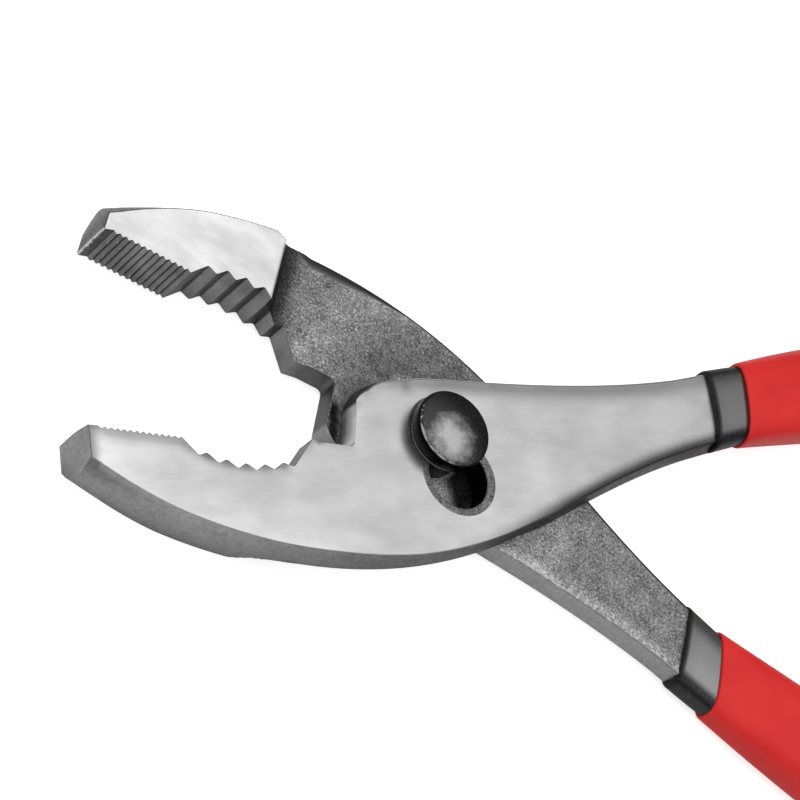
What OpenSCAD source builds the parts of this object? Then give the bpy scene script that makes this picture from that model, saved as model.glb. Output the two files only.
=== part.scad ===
// Slip joint pliers, lying on their back with the jaws open and the pivot in the wide position.
// Both levers come from one forging: the pinned lever is the same shape turned over.
// X runs along the slotted lever's jaw face, Z is up, and Z = 0 is the surface the tool lies on.

/* [Levers] */
// Thickness of the tool at the jaws, two laps together
tool_t = 8.6; // [8:0.1:9.6]
// Gap between the levers where they lap
lap_gap = 0.2; // [0.16:0.02:0.3]
// Angle between the jaw faces as the tool lies
jaw_open = 20.4; // [18:0.1:24]
// Pivot axis to the widest point of a lever, along the jaw
belly_x = 21.5; // [19:0.5:24]
// Pivot axis to the widest point of a lever, across the jaw
belly_y = 21.2; // [20:0.1:23]
// Radius of the outer edge from the widest point to the handle
belly_r = 78; // [72:1:84]
// Slope at which the outer edge runs out into the handle
flank_angle = 29; // [27:0.5:31]

/* [Jaws] */
// Pivot axis to the tip of the slotted lever's jaw
slotted_len = 58.9; // [58.2:0.1:62]
// Pivot axis to the tip of the pinned lever's jaw
pinned_len = 59.2; // [58.2:0.1:62]
// Jaw face of the slotted lever below its pivot axis
slotted_drop = 5.5; // [5.2:0.05:6]
// Jaw face of the pinned lever from its pivot axis
pinned_drop = 5; // [4.6:0.05:5.5]
// Height of the slotted lever's jaw at its tip
slotted_tip = 6.5; // [5.4:0.1:7.4]
// Height of the pinned lever's jaw at its tip
pinned_tip = 5.2; // [4.2:0.1:6.2]
// Pivot axis to the step where the jaw grows to full thickness
step_x = 31.9; // [30:0.1:34]
// Radius in the corner of that step
step_r = 3.9; // [3:0.1:4]

/* [Teeth] */
// Plain land at the tip of the slotted lever, before the fine teeth
slotted_land = 2.2; // [1.4:0.1:2.4]
// Plain land at the tip of the pinned lever
pinned_land = 1.6; // [1:0.1:2.2]
// Number of fine teeth
fine_count = 13; // [9:1:13]
// Depth of the fine teeth
fine_depth = 0.45; // [0.3:0.05:0.6]
// Number of pipe teeth
pipe_count = 5; // [4:1:5]
// Pitch of the pipe teeth
pipe_pitch = 3.06; // [2.8:0.02:3.1]
// Depth of the pipe teeth
pipe_depth = 1.2; // [0.9:0.05:1.4]
// Pivot axis to the first pipe tooth
pipe_x = 40.4; // [40:0.1:41]
// How far the pinned lever's pipe teeth lie nearer the tip
pinned_pipe_shift = 0.6; // [0:0.1:0.8]
// First pipe tooth below the jaw face
pipe_sink = 1.95; // [1.5:0.05:2.3]
// Ramp from the last fine tooth down to the first pipe tooth
pipe_ramp = 2.4; // [1.6:0.1:3]
// Extra depth of the middle pipe tooth
pipe_bow = 0.85; // [0.5:0.05:1.2]

/* [Wire cutter] */
// Pivot axis to the lip of the slotted lever's cutter notch
lip_x = 22.8; // [22:0.1:23.6]
// Rise of the lip above the jaw face
lip_rise = 2.3; // [2:0.1:2.8]
// Depth of the notch floor below the lip
notch_sink = 0.5; // [0.4:0.05:0.8]
// Length of the notch along the jaw
notch_len = 7; // [6:0.1:7.4]
// How far the pinned lever's notch lies nearer the tip
pinned_shift = 1.3; // [1:0.1:1.6]

/* [Pivot] */
// Distance between the two lobes of the slot
slot_pitch = 6.43; // [6.2:0.01:6.7]
// Lean of the slot from square to the jaw face
slot_lean = 15; // [12:0.5:18]
// Radius of the bolt's keyed shank
key_r = 4.95; // [4.85:0.05:5.1]
// Clearance round the shank in the slot's lobes
slot_fit = 0.1; // [0.08:0.01:0.14]
// Clearance at each flat of the shank in the slot's waist
flat_fit = 0.12; // [0.1:0.01:0.2]
// Clearance round the shank where it is keyed into the pinned lever
key_fit = 0.02; // [0.01:0.01:0.05]
// Width of the bevel round the slot
slot_bevel = 0.9; // [0.6:0.05:1]
// Radius of the bolt head
head_r = 6.1; // [6.05:0.05:6.4]
// Height of the head's rim over the lever
head_h = 2.6; // [2.2:0.1:3]
// Rise of the dome above the rim
dome_h = 1; // [0.6:0.1:1.4]
// Thickness of the wave washer under the head
washer_t = 0.45; // [0.3:0.05:0.6]
// Gap above and below the washer
washer_gap = 0.04; // [0.02:0.01:0.08]
// Radius of the bolt's threaded end
stud_r = 3.5; // [3:0.1:3.6]
// Clearance between the threaded end and the nut
stud_fit = 0.05; // [0.02:0.01:0.1]
// Width across the flats of the nut
nut_flats = 11; // [10:0.2:11.4]
// Depth of the nut's seat in the pinned lever
nut_sink = 1.4; // [1:0.1:1.6]

/* [Handles] */
// Start of the handle from the pivot axis, along the jaw face
collar_x = 53.2; // [52:0.1:54]
// Start of the handle from the pivot axis, across the jaw face
collar_y = 11.7; // [11.2:0.1:12.2]
// Direction of the handle at the collar
handle_angle = 17.3; // [16:0.1:19]
// Radius of the handle's bow from the collar to its end
handle_bow = 420; // [380:5:480]
// Width of the steel at the collar
steel_w = 10.9; // [10.4:0.1:11.4]
// Width of the tang at its end
tang_end_w = 6.6; // [6:0.1:8]
// Thickness of the tang where the grip is full
tang_t = 2.6; // [2:0.1:3]

/* [Grips] */
// Black collar that shows in front of the red sleeve
collar_len = 7; // [6:0.1:9]
// Lean of the collar's edge from square to the handle
collar_lean = 7; // [0:1:14]
// Lean of the red sleeve's mouth from square to the handle
mouth_lean = 9; // [0:1:18]
// How far the collar reaches past the start of the handle, towards the pivot
grip_back = 0.7; // [0.3:0.1:1]
// How much nearer the pivot the pinned lever's grip starts
pinned_grip_shift = 3.6; // [3:0.1:4.2]
// Wall of the black liner round the steel
liner_wall = 1.05; // [0.8:0.05:1.2]
// Step up from the liner to the red sleeve at its mouth
mouth_step = 0.4; // [0.3:0.05:0.6]
// Length of the grip from the collar's edge to its end
grip_len = 92; // [88:1:96]
// Width of the red sleeve in the palm
grip_w = 16.2; // [15:0.1:17.5]
// Grip beyond the end of the tang
tang_cover = 17; // [16:0.5:24]
// Clearance between the layers of the grip
layer_fit = 0.03; // [0.02:0.01:0.06]

/* [Hidden] */
$fn = 72;
half_t = tool_t / 2;
grip_t = tool_t + 2 * (liner_wall + mouth_step);
mid_z = grip_t / 2;
front_z = mid_z + half_t;
back_z = mid_z - half_t;
plate_z = lap_gap / 2;
plate_mid = (half_t + plate_z) / 2;
plate_half = (half_t - plate_z) / 2;
far = 200;

// For each lever's jaw: its length, its face from the pivot, its height and its land at the tip
slotted_jaw = [slotted_len, slotted_drop, slotted_tip, slotted_land];
pinned_jaw = [pinned_len, pinned_drop, pinned_tip, pinned_land];

// Pivot values
slot_r = key_r + slot_fit;
slot_step = slot_pitch * [sin(slot_lean), -cos(slot_lean)];
waist = sqrt(slot_r ^ 2 - (slot_pitch / 2) ^ 2);
key_flat = waist - flat_fit;
washer_z = front_z + washer_gap;
head_z = washer_z + washer_t + washer_gap;
nut_t = back_z + nut_sink;
nut_corner_r = nut_flats / 2 / cos(30);

// Grip values
grip_sides = 24;
tang_len = grip_len - tang_cover;
tang_start = -1.5 * pinned_grip_shift;
liner_end = tang_len + tang_end_w / 2 + liner_wall;
end_round = grip_w * 0.55;
blend_len = grip_len * 0.37;
liner_square = 3;
sleeve_square = 2.6;

// Cutter and boss values
notch_lead = notch_len * 0.36;
notch_corner = notch_len * 0.14;
boss_r = notch_len * 1.2;
boss_end = 86;
// For each lever: the boss beyond the notch, where its arc starts, and its centre across the jaw
slotted_boss = [1.2, 156, 0.4];
pinned_boss = [0.2, 147, 0.5];
inner_slope = 0.24;
outer_slope = 0.34;

// Small edges
head_edge = head_r / 20;
seat_room = nut_flats / 36;

// A point on a cubic that leaves p0 at slope m0 and arrives at p1 at slope m1
function cubic(p0, m0, p1, m1, t) =
    let (run = p1.x - p0.x)
    [p0.x + run * t,
     (2 * t ^ 3 - 3 * t ^ 2 + 1) * p0.y + (t ^ 3 - 2 * t ^ 2 + t) * run * m0
     + (3 * t ^ 2 - 2 * t ^ 3) * p1.y + (t ^ 3 - t ^ 2) * run * m1];

// A rise from 0 to 1 as x goes from a to b, steepest at the start and level at the end
function ease(a, b, x) = sin(90 * max(0, min(1, (x - a) / (b - a))));

// Handle axis: an arc that starts at the collar and bows towards the other handle
function axis_angle(s) = handle_angle - s / handle_bow * 180 / PI;
function axis_at(s) =
    [collar_x, collar_y] + handle_bow * [sin(handle_angle) - sin(axis_angle(s)),
                                         cos(axis_angle(s)) - cos(handle_angle)];
function axis_normal(s) = [-sin(axis_angle(s)), cos(axis_angle(s))];

// Steel width along the handle axis, and the edge points at one station
function steel_half(s) = (steel_w + (tang_end_w - steel_w) * s / tang_len) / 2;
function steel_edge(s, side, grow = 0) = axis_at(s) + side * (steel_half(s) + grow) * axis_normal(s);

// Outer face of the steel along the handle: one lap at the collar, thinner where the grip is full
function steel_top(s) =
    let (t = max(0, min(1, s / blend_len)))
    half_t + (plate_z + tang_t - half_t) * t;

// Jaw face: fine teeth that fill the room before the ramp, then pipe teeth set on a shallow hollow
function fine_pitch(jaw, shift) =
    (jaw[0] - jaw[3] - pipe_x - shift - pipe_pitch / 2 - pipe_ramp) / (fine_count - 0.5);

function fine_teeth(jaw, shift) =
    [for (i = [0 : fine_count - 1], side = [0, 0.5])
        [jaw[3] - jaw[0] + (i + side) * fine_pitch(jaw, shift), -jaw[1] - (side == 0 ? fine_depth : 0)]];

function pipe_line(drop, i) =
    let (u = 2 * i / (pipe_count - 1) - 1)
    -drop - pipe_sink - pipe_bow * (1 - u * u);

function pipe_teeth(drop, shift) =
    [for (i = [0 : pipe_count], side = [-0.5, 0])
        if (side < 0 || i < pipe_count)
            [(i + side) * pipe_pitch - pipe_x - shift,
             pipe_line(drop, i + side) - (side < 0 ? pipe_depth : 0)]];

// Cutter notch, from its lip to the top of the boss
function notch(drop, shift) =
    let (lip = [-lip_x - shift, lip_rise - drop], floor_y = lip.y - notch_sink,
         corner = [lip.x + notch_len - notch_corner, floor_y + notch_corner])
    concat([lip, [lip.x + notch_lead, floor_y]],
           [for (a = [-90 : 30 : 0]) corner + notch_corner * [cos(a), sin(a)]]);

function boss_centre(shift, boss) =
    [notch_len - lip_x - shift + boss[0] - boss_r * cos(boss[1]), boss[2]];
function boss_arc(shift, boss) =
    [for (i = [0 : 7])
        let (a = boss[1] + (boss_end - boss[1]) * i / 7)
        boss_centre(shift, boss) + boss_r * [cos(a), sin(a)]];

// Inner edge of the handle, from the boss to the tang
function inner_edge(shift, boss) =
    let (p0 = boss_centre(shift, boss) + boss_r * [cos(boss_end), sin(boss_end)])
    [for (t = [0.1 : 0.1 : 0.9]) cubic(p0, 1 / tan(boss_end), steel_edge(tang_start, 1), inner_slope, t)];

// Tang: both edges of the steel inside the grip, joined by a round end
function tang(grow) =
    let (end_r = tang_end_w / 2 + grow, angle = axis_angle(tang_len),
         places = [for (i = [0 : 8]) tang_start + (tang_len - tang_start) * i / 8])
    concat([for (s = places) steel_edge(s, 1, grow)],
           [for (a = [75 : -15 : -75]) axis_at(tang_len) + end_r * [cos(a + angle), sin(a + angle)]],
           [for (i = [8 : -1 : 0]) steel_edge(places[i], -1, grow)]);

// Outer edge of the lever, from the tang along the belly to the tip
flank = [belly_r * sin(flank_angle) - belly_x, belly_r * (1 - cos(flank_angle)) - belly_y];
function outer_edge(jaw) =
    let (run = jaw[0] - belly_x, rise = belly_y - jaw[1] - jaw[2],
         jaw_r = (run ^ 2 + rise ^ 2) / (2 * rise), tip_angle = asin(run / jaw_r))
    concat([for (t = [0.9 : -0.1 : 0.1])
               cubic(flank, tan(flank_angle), steel_edge(tang_start, -1), outer_slope, t)],
           [for (i = [10 : -1 : 0])
               [belly_r * sin(flank_angle * i / 10) - belly_x,
                belly_r * (1 - cos(flank_angle * i / 10)) - belly_y]],
           [for (i = [1 : 10])
               [-jaw_r * sin(tip_angle * i / 10) - belly_x,
                jaw_r * (1 - cos(tip_angle * i / 10)) - belly_y]]);

function lever_outline(jaw, pipe_shift, shift, boss) =
    concat([[-jaw[0], -jaw[1]]], fine_teeth(jaw, pipe_shift), pipe_teeth(jaw[1], pipe_shift),
           notch(jaw[1], shift), boss_arc(shift, boss), inner_edge(shift, boss), tang(0), outer_edge(jaw));

// Everything over the tang's outer face, which slopes down inside the grip
module over_tang(grow = 0) {
    translate([collar_x, collar_y, grow])
        rotate([90, 0, handle_angle])
            linear_extrude(far, center = true)
                polygon([[0, steel_top(0)], [blend_len, steel_top(blend_len)], [far, steel_top(far)],
                         [far, far], [0, far]]);
}

// One forging about the tool's middle plane: full thickness at the jaw, one lap behind the step
module forging(jaw, pipe_shift, shift, boss) {
    difference() {
        translate([0, 0, -half_t])
            linear_extrude(tool_t)
                polygon(lever_outline(jaw, pipe_shift, shift, boss));
        rotate([90, 0, 0])
            linear_extrude(far, center = true)
                polygon(concat([for (a = [180 : -15 : 90])
                                    [step_r - step_x, plate_z - step_r] + step_r * [cos(a), sin(a)]],
                               [[far, plate_z], [far, -far], [-step_x, -far]]));
        over_tang();
    }
}

// Where the slotted lever's pieces lie
module front_side() {
    translate([0, 0, mid_z])
        children();
}

// Where the pinned lever's pieces lie: turned over, and swung open about the pivot
module back_side() {
    translate([0, 0, mid_z])
        rotate([180, 0, -jaw_open])
            children();
}

// Shank with two flats that pass the waist of the slot
module keyed_shank(z0, z1, grow = 0) {
    intersection() {
        translate([0, 0, z0])
            cylinder(r = key_r + grow, h = z1 - z0);
        rotate([0, 0, slot_lean])
            translate([-key_flat - grow, -far / 2, z0 - 1])
                cube([2 * (key_flat + grow), far, z1 - z0 + 2]);
    }
}

// One ring of a grip: a squared ellipse across the handle axis, leaned from square to it
function ring(s, half_w, half_h, z, square, lean) =
    [for (k = [0 : grip_sides - 1])
        let (a = 360 * k / grip_sides, c = cos(a), d = sin(a),
             u = half_w * sign(c) * abs(c) ^ (2 / square), v = half_h * sign(d) * abs(d) ^ (2 / square),
             place = s + u * tan(lean), at = axis_at(place) + u * axis_normal(place))
        [at.x, at.y, z + v]];

// A closed skin over a list of rings
module skin(rings) {
    count = len(rings);
    polyhedron(
        [for (r = rings, p = r) p],
        concat([[for (k = [0 : grip_sides - 1]) k]],
               [for (i = [0 : count - 2], k = [0 : grip_sides - 1])
                   let (next = (k + 1) % grip_sides)
                   [i * grip_sides + k, (i + 1) * grip_sides + k,
                    (i + 1) * grip_sides + next, i * grip_sides + next]],
               [[for (k = [grip_sides - 1 : -1 : 0]) (count - 1) * grip_sides + k]]),
        convexity = 4);
}

// Outside of the liner: the tang with an even wall round it
function liner_rings(start, grow) =
    let (steps = 12, stop = liner_end + grow)
    [for (i = [0 : steps])
        let (s = start + (stop - start) * i / steps)
        ring(s, steel_half(min(s, tang_len)) + liner_wall + grow,
             (steel_top(s) - plate_z) / 2 + liner_wall + grow, (steel_top(s) + plate_z) / 2, liner_square,
             collar_lean * (1 - i / steps))];

// Outside of the sleeve: slim at its mouth, full in the palm, round at the end
function sleeve_rings(start) =
    let (mouth = start + collar_len, end = start + grip_len, steps = 10, caps = 8,
         mouth_w = steel_half(mouth) + liner_wall + mouth_step,
         mouth_h = plate_half + liner_wall + mouth_step,
         places = concat([for (i = [0 : steps]) mouth + (end - end_round - mouth) * i / steps],
                         [for (i = [1 : caps]) end - end_round + end_round * sin(88 * i / caps)]))
    [for (s = places)
        let (full = ease(mouth, mouth + blend_len, s),
             close = sqrt(1 - max(0, (s - end + end_round) / end_round) ^ 2))
        ring(s, close * (mouth_w + (grip_w / 2 - mouth_w) * full),
             close * (mouth_h + (grip_t / 2 - mouth_h) * full),
             plate_mid * (1 - full), liner_square + (sleeve_square - liner_square) * full,
             mouth_lean * (1 - full))];

module liner(start) {
    difference() {
        skin(liner_rings(start, 0));
        difference() {
            translate([0, 0, plate_z - layer_fit])
                linear_extrude(2 * (plate_half + layer_fit))
                    polygon(tang(layer_fit));
            over_tang(layer_fit);
        }
    }
}

module sleeve(start) {
    difference() {
        skin(sleeve_rings(start));
        skin(liner_rings(start, layer_fit));
    }
}

// Lever with the lower jaw and the two-lobed slot, bevelled round its mouth
module slotted_lever() {
    color("silver")
        difference() {
            front_side()
                forging(slotted_jaw, 0, 0, slotted_boss);
            for (lobe = [[0, 0], slot_step]) {
                translate([lobe.x, lobe.y, mid_z - 1])
                    cylinder(r = slot_r, h = half_t + 2);
                translate([lobe.x, lobe.y, front_z - slot_bevel])
                    cylinder(r1 = slot_r, r2 = slot_r + 2 * slot_bevel, h = 2 * slot_bevel);
            }
        }
}

// Lever with the upper jaw, the keyed hole and the seat for the nut
module pinned_lever() {
    color("dimgray")
        difference() {
            back_side()
                forging(pinned_jaw, pinned_pipe_shift, pinned_shift, pinned_boss);
            keyed_shank(back_z - 1, mid_z + 1, key_fit);
            translate([0, 0, back_z - 1])
                cylinder(r = nut_corner_r + seat_room, h = nut_sink + 1);
        }
}

// Bolt: low domed head, keyed shank and threaded end, cut flush with the nut
module pivot_bolt() {
    rim_z = front_z + head_h;
    dome_r = (head_r ^ 2 + dome_h ^ 2) / (2 * dome_h);
    dome_end = asin(head_r / dome_r);
    color([0.12, 0.12, 0.13]) {
        rotate_extrude()
            polygon(concat([[0, head_z], [head_r - head_edge, head_z], [head_r, head_z + head_edge]],
                           [for (i = [0 : 6])
                               let (a = dome_end * (1 - i / 6))
                               [dome_r * sin(a), rim_z + dome_h - dome_r * (1 - cos(a))]]));
        keyed_shank(nut_t, head_z);
        cylinder(r = stud_r, h = nut_t);
    }
}

// Thin ring that takes up play between the bolt head and the slotted lever
module wave_washer() {
    color("gray")
        translate([0, 0, washer_z])
            difference() {
                cylinder(r = head_r - slot_fit, h = washer_t);
                translate([0, 0, -1])
                    cylinder(r = key_r + slot_fit, h = washer_t + 2);
            }
}

// Hexagon nut, half sunk in the pinned lever, that the tool lies on
module pivot_nut() {
    color([0.2, 0.2, 0.21])
        difference() {
            cylinder(r = nut_corner_r, h = nut_t, $fn = 6);
            translate([0, 0, -1])
                cylinder(r = stud_r + stud_fit, h = nut_t + 2);
        }
}

// Black under-layer of each grip, which shows as a collar
module slotted_grip_liner() {
    color([0.1, 0.1, 0.1])
        front_side()
            liner(-grip_back);
}

module pinned_grip_liner() {
    color([0.1, 0.1, 0.1])
        back_side()
            liner(-grip_back - pinned_grip_shift);
}

// Red outer layer of each grip
module slotted_grip_sleeve() {
    color([0.83, 0.2, 0.2])
        front_side()
            sleeve(-grip_back);
}

module pinned_grip_sleeve() {
    color([0.83, 0.2, 0.2])
        back_side()
            sleeve(-grip_back - pinned_grip_shift);
}

slotted_lever();
pinned_lever();
pivot_bolt();
wave_washer();
pivot_nut();
slotted_grip_liner();
slotted_grip_sleeve();
pinned_grip_liner();
pinned_grip_sleeve();
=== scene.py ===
import bmesh
import bpy
import numpy as np
from mathutils import Matrix
from mathutils.geometry import delaunay_2d_cdt


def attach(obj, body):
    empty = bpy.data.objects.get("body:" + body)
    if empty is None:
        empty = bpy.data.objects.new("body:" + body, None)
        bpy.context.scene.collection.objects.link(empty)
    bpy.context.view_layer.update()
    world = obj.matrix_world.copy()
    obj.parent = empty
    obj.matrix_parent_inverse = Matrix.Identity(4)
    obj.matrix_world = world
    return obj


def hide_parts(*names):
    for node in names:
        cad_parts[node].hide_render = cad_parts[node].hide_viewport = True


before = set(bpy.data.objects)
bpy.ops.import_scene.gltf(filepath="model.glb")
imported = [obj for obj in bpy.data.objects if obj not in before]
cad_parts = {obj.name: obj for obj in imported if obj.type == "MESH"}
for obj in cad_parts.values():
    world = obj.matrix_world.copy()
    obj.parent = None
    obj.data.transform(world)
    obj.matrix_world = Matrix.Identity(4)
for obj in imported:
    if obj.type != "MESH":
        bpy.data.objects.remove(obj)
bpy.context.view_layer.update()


# Pinned lever
# The rear lever is one drop-forged bar of carbon steel: a full-thickness jaw, a flat lap round the
# pivot and a tang inside the grip. Its teeth are broached, its jaw face is ground bright, and the
# lap keeps the grainy skin of the forge.
MM = 0.001
TOOL_T, LAP_GAP, JAW_OPEN = 8.6, 0.2, np.radians(20.4)
HALF_T, PLATE_Z = TOOL_T / 2, LAP_GAP / 2
MID_Z = HALF_T + 1.45
STEP_X, STEP_R = 31.9, 3.9
FINE_COUNT, FINE_DEPTH, FINE_END_X = 13, 0.45, 44
PIPE_X, PIPE_PITCH, PIPE_DEPTH, PIPE_SINK, PIPE_RAMP, PIPE_BOW = 40.4, 3.06, 1.2, 1.95, 2.4, 0.85
LIP_X, LIP_RISE, NOTCH_LEN, NOTCH_SINK, NOTCH_R = 22.8, 2.3, 7.0, 0.5, 0.98
BOSS_R, BOSS_END, BELLY_X, BELLY_Y, BELLY_R, FLANK_DEG = 8.4, 86, 21.5, 21.2, 78.0, 29
COLLAR = np.array([53.2, 11.7])
HANDLE_ANGLE, HANDLE_BOW = np.radians(17.3), 420.0
STEEL_W, TANG_END_W, TANG_T = 10.9, 6.6, 2.6
TANG_LEN, TANG_START, BLEND_LEN = 75.0, -5.4, 34.04
# Kinds of edge round a lever, in the order of every list of values per edge. Then its finishes, in the
# order of every list of skins.
TEETH, NOTCH, BOSS, INNER, TANG, OUTER, JAW, TIP = range(8)
FACE, SIDES, CUT, BORE, LAP, JAW_FACE, STEP, LEDGE = range(8)


def cubic(p0, m0, p1, m1, t):
    """Points on the Hermite cubic y(x) that leaves p0 at slope m0 and reaches p1 at slope m1."""
    run = p1[0] - p0[0]
    y = ((2 * t**3 - 3 * t**2 + 1) * p0[1] + (t**3 - 2 * t**2 + t) * run * m0
         + (3 * t**2 - 2 * t**3) * p1[1] + (t**3 - t**2) * run * m1)
    return np.column_stack([p0[0] + run * t, y])


def eased(points, reach):
    """A polyline whose inner corners are cut to three points of a parabola that starts and ends a
    reach away from the corner."""
    here = points[1:-1]
    back, on = points[:-2] - here, points[2:] - here
    back = back * (reach / np.hypot(*back[:, :2].T))[:, None]
    on = on * (reach / np.hypot(*on[:, :2].T))[:, None]
    corners = np.stack([here + back, here + (back + on) / 4, here + on], 1).reshape(-1, points.shape[1])
    return np.vstack([points[:1], corners, points[-1:]])


def handle_axis(s):
    """Points of the handle's axis and its normals: an arc of radius HANDLE_BOW that starts at the
    collar, s millimetres along."""
    angle = HANDLE_ANGLE - np.asarray(s, float) / HANDLE_BOW
    at = COLLAR + HANDLE_BOW * np.stack([np.sin(HANDLE_ANGLE) - np.sin(angle),
                                         np.cos(angle) - np.cos(HANDLE_ANGLE)], -1)
    return at, np.stack([-np.sin(angle), np.cos(angle)], -1)


def steel_half(s):
    """Half width of the steel, tapering evenly from the collar to the end of the tang."""
    return (STEEL_W + (TANG_END_W - STEEL_W) * np.minimum(s, TANG_LEN) / TANG_LEN) / 2


def steel_top(s):
    """Height of the steel's outer face: level to the collar, then sloping to the thin tang."""
    return HALF_T + (PLATE_Z + TANG_T - HALF_T) * np.clip(np.asarray(s, float) / BLEND_LEN, 0, 1)


def face_top(points):
    """Height of the outer face over points of the lever's plane."""
    return steel_top((points - COLLAR) @ [np.cos(HANDLE_ANGLE), np.sin(HANDLE_ANGLE)])


def lever_outline(jaw, pipe_shift, lip_shift, boss):
    """The lever's outline at its parting plane, clockwise from the tip: teeth on a straight line and
    on a shallow parabola, the cutter notch, the boss arc, cubics to the handle, the tapered tang,
    and two arcs that meet at the belly. The jaw's sizes are its length, its face from the pivot,
    its height, its land at the tip and the width of the land's edge; the boss's are its start past
    the notch, the angle there and its height. The shifts move the pipe teeth and the lip to the tip.
    Gives the points, the kind of edge at each, and how deep in a tooth valley it is, from 0 to 1."""
    length, drop, tip, land, edge = jaw
    count = np.arange(2 * FINE_COUNT)
    valley = count % 2 == 0
    pitch = (length - land - PIPE_X - pipe_shift - PIPE_PITCH / 2 - PIPE_RAMP) / (FINE_COUNT - 0.5)
    fine = np.column_stack([land - length + pitch * count / 2, -drop - FINE_DEPTH * valley, valley])
    i = np.arange(11) / 2 - 0.5
    valley = (np.arange(11) % 2 == 0) * np.where(i > 4, 0.5, 1)
    sag = PIPE_BOW * (1 - (i / 2 - 1) ** 2)
    pipe = np.column_stack([i * PIPE_PITCH - PIPE_X - pipe_shift,
                            -drop - PIPE_SINK - sag - PIPE_DEPTH * (valley > 0), valley])
    lip = np.array([-LIP_X - lip_shift, LIP_RISE - drop])
    jaw_face = np.vstack([[[-length, -drop, 0], [edge - length, -drop, 0]], fine, pipe, [[*lip, 0]]])
    fine_reach, pipe_reach = 0.09, 0.3
    jaw_face = eased(jaw_face, np.where(jaw_face[1:-1, 0] < -FINE_END_X, fine_reach, pipe_reach))
    bend = np.radians(np.arange(15, 91, 15))
    breaks = np.concatenate([[-STEP_X - 1e-4, -STEP_X + 1e-4], -STEP_X + STEP_R * (1 - np.cos(bend))])
    x = np.sort(np.concatenate([jaw_face[:, 0], breaks]))
    sunk = np.interp(x, jaw_face[:, 0], jaw_face[:, 2])
    jaw_face = np.column_stack([x, np.interp(x, jaw_face[:, 0], jaw_face[:, 1])])

    turn = np.radians(np.arange(-90, 1, 15))
    corner = lip + [NOTCH_LEN - NOTCH_R, NOTCH_R - NOTCH_SINK]
    notch = np.vstack([lip + [0.36 * NOTCH_LEN, -NOTCH_SINK],
                       corner + NOTCH_R * np.column_stack([np.cos(turn), np.sin(turn)])])
    lead, start, boss_y = boss
    turn = np.radians(np.linspace(start, BOSS_END, 22))
    boss_at = np.array([lip[0] + NOTCH_LEN + lead - BOSS_R * np.cos(turn[0]), boss_y])
    boss_arc = boss_at + BOSS_R * np.column_stack([np.cos(turn), np.sin(turn)])
    notch = np.vstack([notch, 0.1 * notch[-1] + 0.9 * boss_arc[0]])

    s = np.linspace(TANG_START, TANG_LEN, 70)
    at, across = handle_axis(s)
    half = steel_half(s)[:, None]
    end = np.radians(np.arange(75, -76, -15)) + HANDLE_ANGLE - TANG_LEN / HANDLE_BOW
    tang_end = at[-1] + TANG_END_W / 2 * np.column_stack([np.cos(end), np.sin(end)])
    above, below = at + half * across, (at - half * across)[::-1]
    inner_slope, outer_slope, between = 0.24, 0.34, np.linspace(0, 1, 42)[1:-1]
    inner = cubic(boss_arc[-1], 1 / np.tan(turn[-1]), above[0], inner_slope, between)

    flank = np.radians(np.linspace(FLANK_DEG, 0, 40))
    belly = np.column_stack([BELLY_R * np.sin(flank) - BELLY_X, BELLY_R * (1 - np.cos(flank)) - BELLY_Y])
    outer = cubic(belly[0], np.tan(flank[0]), below[-1], outer_slope, np.linspace(1, 0, 42)[1:-1])
    run, rise = length - BELLY_X, BELLY_Y - drop - tip
    jaw_r = (run**2 + rise**2) / (2 * rise)
    sweep = np.arcsin(run / jaw_r) * np.linspace(0, 1, 60)[1:]
    back = np.vstack([belly, np.column_stack([-jaw_r * np.sin(sweep) - BELLY_X,
                                              jaw_r * (1 - np.cos(sweep)) - BELLY_Y])])
    x = np.sort(np.concatenate([back[:, 0], breaks]))[::-1]
    back = np.column_stack([x, np.interp(x, *back[::-1].T)])
    tip_end = np.column_stack([np.full(3, -length), -drop - np.array([tip * 0.35, tip * 0.15, 0.15])])

    runs = [(TEETH, jaw_face), (NOTCH, notch), (BOSS, boss_arc), (INNER, inner), (INNER, above),
            (TANG, tang_end), (OUTER, below), (OUTER, outer), (JAW, back), (TIP, tip_end)]
    path = np.vstack([r for _, r in runs])
    kind = np.concatenate([np.full(len(r), k) for k, r in runs])
    return path, kind, np.concatenate([sunk, np.zeros(len(path) - len(sunk))])


def inside_loops(points, loops):
    """True where a ray from a point crosses the loops an odd number of times."""
    odd = np.zeros(len(points), bool)
    for loop in loops:
        a, b = loop, np.roll(loop, -1, 0)
        spans = (a[:, 1] > points[:, 1:]) != (b[:, 1] > points[:, 1:])
        rise = np.where(b[:, 1] == a[:, 1], 1, b[:, 1] - a[:, 1])
        hit = a[:, 0] + (points[:, 1:] - a[:, 1]) * (b[:, 0] - a[:, 0]) / rise
        odd ^= (spans & (points[:, :1] < hit)).sum(1) % 2 == 1
    return odd


def gap_to_loop(points, loop, keep=slice(None)):
    """Distance from each point to the nearest segment of a loop, or of its kept segments."""
    start, run = loop[keep], (np.roll(loop, -1, 0) - loop)[keep]
    size = np.maximum((run**2).sum(1), 1e-12)
    away = points[:, None] - start
    t = np.clip((away * run).sum(2) / size, 0, 1)
    return np.sqrt(((away - t[..., None] * run) ** 2).sum(2)).min(1)


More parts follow.
